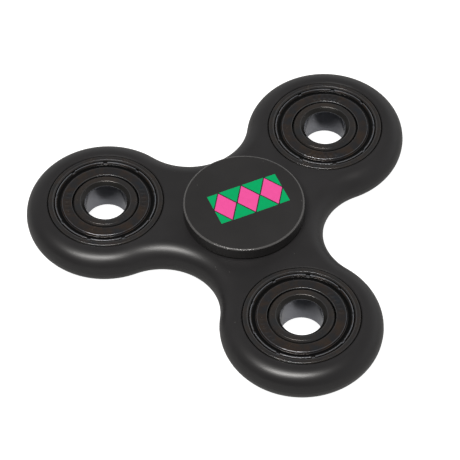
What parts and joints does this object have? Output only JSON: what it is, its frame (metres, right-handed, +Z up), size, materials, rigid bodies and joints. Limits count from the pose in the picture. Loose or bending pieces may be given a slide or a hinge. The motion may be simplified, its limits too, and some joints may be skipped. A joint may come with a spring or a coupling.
{
  "type": "fidget spinner",
  "caption": "Flat three-lobed spinning toy: a moulded body with a shielded ball bearing near the end of each arm turns on a hub bearing held between two round finger caps.",
  "frame": {"origin": "centre of the lower cap's flat face, which it rests on, on the axis that the body spins about", "axes": "+Z up along the spin axis, from the lower cap to the upper cap; one arm, the front one, points along -Y"},
  "size_m": [0.0756, 0.0695, 0.0128],
  "materials": {
    "body_plastic": "black moulded plastic, satin",
    "cap_plastic": "black plastic, fine matt",
    "pink_ink": "printed ink, bright pink",
    "green_ink": "printed ink, bright green",
    "black_steel": "black oxide bearing steel, ground and polished",
    "shield_steel": "black pressed sheet steel, semi-gloss",
    "cage_steel": "pressed sheet steel, dull",
    "ball_steel": "polished bearing steel"
  },
  "bodies": {
    "hub": {"upper_cap": "cap_plastic", "lower_cap": "cap_plastic", "hub_inner_ring": "black_steel"},
    "spinner_frame": {"spinner_body": "body_plastic", "hub_outer_ring": "black_steel", "hub_upper_shield": "shield_steel", "hub_lower_shield": "shield_steel", "front_outer_ring": "black_steel", "front_upper_shield": "shield_steel", "front_lower_shield": "shield_steel", "right_outer_ring": "black_steel", "right_upper_shield": "shield_steel", "right_lower_shield": "shield_steel", "left_outer_ring": "black_steel", "left_upper_shield": "shield_steel", "left_lower_shield": "shield_steel"},
    "hub_cage": {"hub_upper_cage": "cage_steel", "hub_lower_cage": "cage_steel", "hub_ball_1": "ball_steel", "hub_ball_2": "ball_steel", "hub_ball_3": "ball_steel", "hub_ball_4": "ball_steel", "hub_ball_5": "ball_steel", "hub_ball_6": "ball_steel", "hub_ball_7": "ball_steel"},
    "front_inner_race": {"front_inner_ring": "black_steel"},
    "front_cage": {"front_upper_cage": "cage_steel", "front_lower_cage": "cage_steel", "front_ball_1": "ball_steel", "front_ball_2": "ball_steel", "front_ball_3": "ball_steel", "front_ball_4": "ball_steel", "front_ball_5": "ball_steel", "front_ball_6": "ball_steel", "front_ball_7": "ball_steel"},
    "right_inner_race": {"right_inner_ring": "black_steel"},
    "right_cage": {"right_upper_cage": "cage_steel", "right_lower_cage": "cage_steel", "right_ball_1": "ball_steel", "right_ball_2": "ball_steel", "right_ball_3": "ball_steel", "right_ball_4": "ball_steel", "right_ball_5": "ball_steel", "right_ball_6": "ball_steel", "right_ball_7": "ball_steel"},
    "left_inner_race": {"left_inner_ring": "black_steel"},
    "left_cage": {"left_upper_cage": "cage_steel", "left_lower_cage": "cage_steel", "left_ball_1": "ball_steel", "left_ball_2": "ball_steel", "left_ball_3": "ball_steel", "left_ball_4": "ball_steel", "left_ball_5": "ball_steel", "left_ball_6": "ball_steel", "left_ball_7": "ball_steel"}
  },
  "joints": [
    {"name": "frame_spin", "type": "hinge", "parent": "hub", "child": "spinner_frame", "pos_m": [0, 0, 0.0064], "axis": [0, 0, 1], "continuous": true},
    {"name": "hub_cage_roll", "type": "hinge", "parent": "hub", "child": "hub_cage", "pos_m": [0, 0, 0.0064], "axis": [0, 0, 1], "continuous": true},
    {"name": "front_race_spin", "type": "hinge", "parent": "spinner_frame", "child": "front_inner_race", "pos_m": [0, -0.0263, 0.0064], "axis": [0, 0, 1], "continuous": true},
    {"name": "front_cage_roll", "type": "hinge", "parent": "spinner_frame", "child": "front_cage", "pos_m": [0, -0.0263, 0.0064], "axis": [0, 0, 1], "continuous": true},
    {"name": "right_race_spin", "type": "hinge", "parent": "spinner_frame", "child": "right_inner_race", "pos_m": [0.02278, 0.01315, 0.0064], "axis": [0, 0, 1], "continuous": true},
    {"name": "right_cage_roll", "type": "hinge", "parent": "spinner_frame", "child": "right_cage", "pos_m": [0.02278, 0.01315, 0.0064], "axis": [0, 0, 1], "continuous": true},
    {"name": "left_race_spin", "type": "hinge", "parent": "spinner_frame", "child": "left_inner_race", "pos_m": [-0.02278, 0.01315, 0.0064], "axis": [0, 0, 1], "continuous": true},
    {"name": "left_cage_roll", "type": "hinge", "parent": "spinner_frame", "child": "left_cage", "pos_m": [-0.02278, 0.01315, 0.0064], "axis": [0, 0, 1], "continuous": true}
  ],
  "couplings": [
    {"joint": "hub_cage_roll", "follows": "frame_spin", "ratio": 0.6323},
    {"joint": "front_cage_roll", "follows": "front_race_spin", "ratio": 0.3677},
    {"joint": "right_cage_roll", "follows": "right_race_spin", "ratio": 0.3677},
    {"joint": "left_cage_roll", "follows": "left_race_spin", "ratio": 0.3677}
  ]
}
